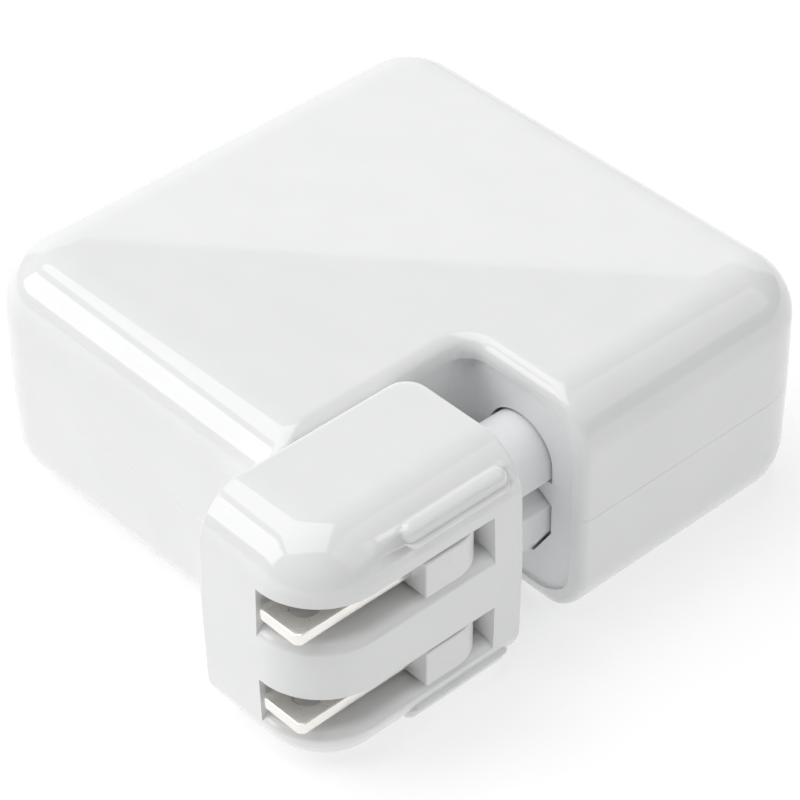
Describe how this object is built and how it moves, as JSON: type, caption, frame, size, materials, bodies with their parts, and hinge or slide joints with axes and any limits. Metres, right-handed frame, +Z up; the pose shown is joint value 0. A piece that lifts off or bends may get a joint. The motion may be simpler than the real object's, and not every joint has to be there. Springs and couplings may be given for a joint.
{
  "type": "laptop power adapter",
  "caption": "Square laptop power adapter brick with a pull-out plug head in one corner, folding mains blades and an oval output port.",
  "frame": {"origin": "middle of the brick's flat bottom face", "axes": "+Z up through the brick's thickness; +X towards the side that meets the wall outlet; the plug head slides out along -Y"},
  "size_m": [0.068, 0.0764, 0.0313],
  "materials": {
    "gloss_white": "polished moulded white, bright reflections",
    "satin_white": "satin moulded white",
    "inlet_plastic": "fine matt moulded pale grey, slightly blue",
    "nickel": "nickel plated, rolled and lightly polished",
    "steel": "turned or stamped bright steel",
    "brass": "bright spring brass",
    "copper": "copper, varnished on the windings",
    "aluminium": "plain rolled sheet",
    "board_green": "green solder mask over glass laminate",
    "ferrite": "dull dark grey sintered ferrite",
    "black_epoxy": "moulded black epoxy",
    "yellow_tape": "wrapped yellow polyester tape",
    "sleeve_black": "shrunk dark sleeve",
    "film_box": "cast yellow-buff capacitor case",
    "ceramic_blue": "dipped blue coating",
    "fish_paper": "thin calendered insulating paper",
    "wire_white": "soft white wire insulation"
  },
  "bodies": {
    "brick": {"upper_shell": "gloss_white", "lower_shell": "gloss_white", "inlet_housing": "inlet_plastic", "inlet_pin_upper": "nickel", "inlet_pin_lower": "nickel", "inlet_lead_upper": "wire_white", "inlet_lead_lower": "wire_white", "ground_stud": "steel", "stud_nut": "steel", "ground_strap": "copper", "main_board": "board_green", "insulating_sheet": "fish_paper", "lower_heat_spreader": "aluminium", "upper_heat_spreader": "aluminium", "choke_core": "ferrite", "choke_winding_a": "copper", "choke_winding_b": "copper", "transformer_core": "ferrite", "transformer_winding": "yellow_tape", "boost_coil_core": "ferrite", "boost_coil_winding": "copper", "primary_heat_sink": "aluminium", "bridge_rectifier": "black_epoxy", "switch_transistor": "black_epoxy", "secondary_heat_sink": "aluminium", "output_rectifier": "black_epoxy", "bulk_capacitor": "sleeve_black", "output_capacitor_1": "sleeve_black", "output_capacitor_2": "sleeve_black", "filter_capacitor": "film_box", "safety_capacitor": "ceramic_blue", "fuse": "ceramic_blue", "optocoupler": "black_epoxy", "controller_chip": "black_epoxy", "port_shell": "nickel", "port_tongue": "black_epoxy", "port_board": "board_green", "port_header": "black_epoxy"},
    "plug_head": {"plug_housing": "gloss_white", "plug_cover": "inlet_plastic", "contact_sleeve_upper": "brass", "contact_sleeve_lower": "brass", "contact_strip_upper": "brass", "contact_strip_lower": "brass", "ground_clip": "steel", "detent_spring": "steel"},
    "blade_rotor": {"blade_hub_upper": "satin_white", "blade_upper": "nickel", "blade_hub_lower": "satin_white", "blade_lower": "nickel", "hinge_pin": "steel"}
  },
  "joints": [
    {"name": "plug_slide", "type": "slide", "parent": "brick", "child": "plug_head", "axis": [0, -1, 0], "range_m": [-0.0089, 0.036]},
    {"name": "blade_fold", "type": "hinge", "parent": "plug_head", "child": "blade_rotor", "pos_m": [0.0292, -0.0225, 0.01565], "axis": [0, 0, 1], "range_deg": [0, 90]}
  ]
}
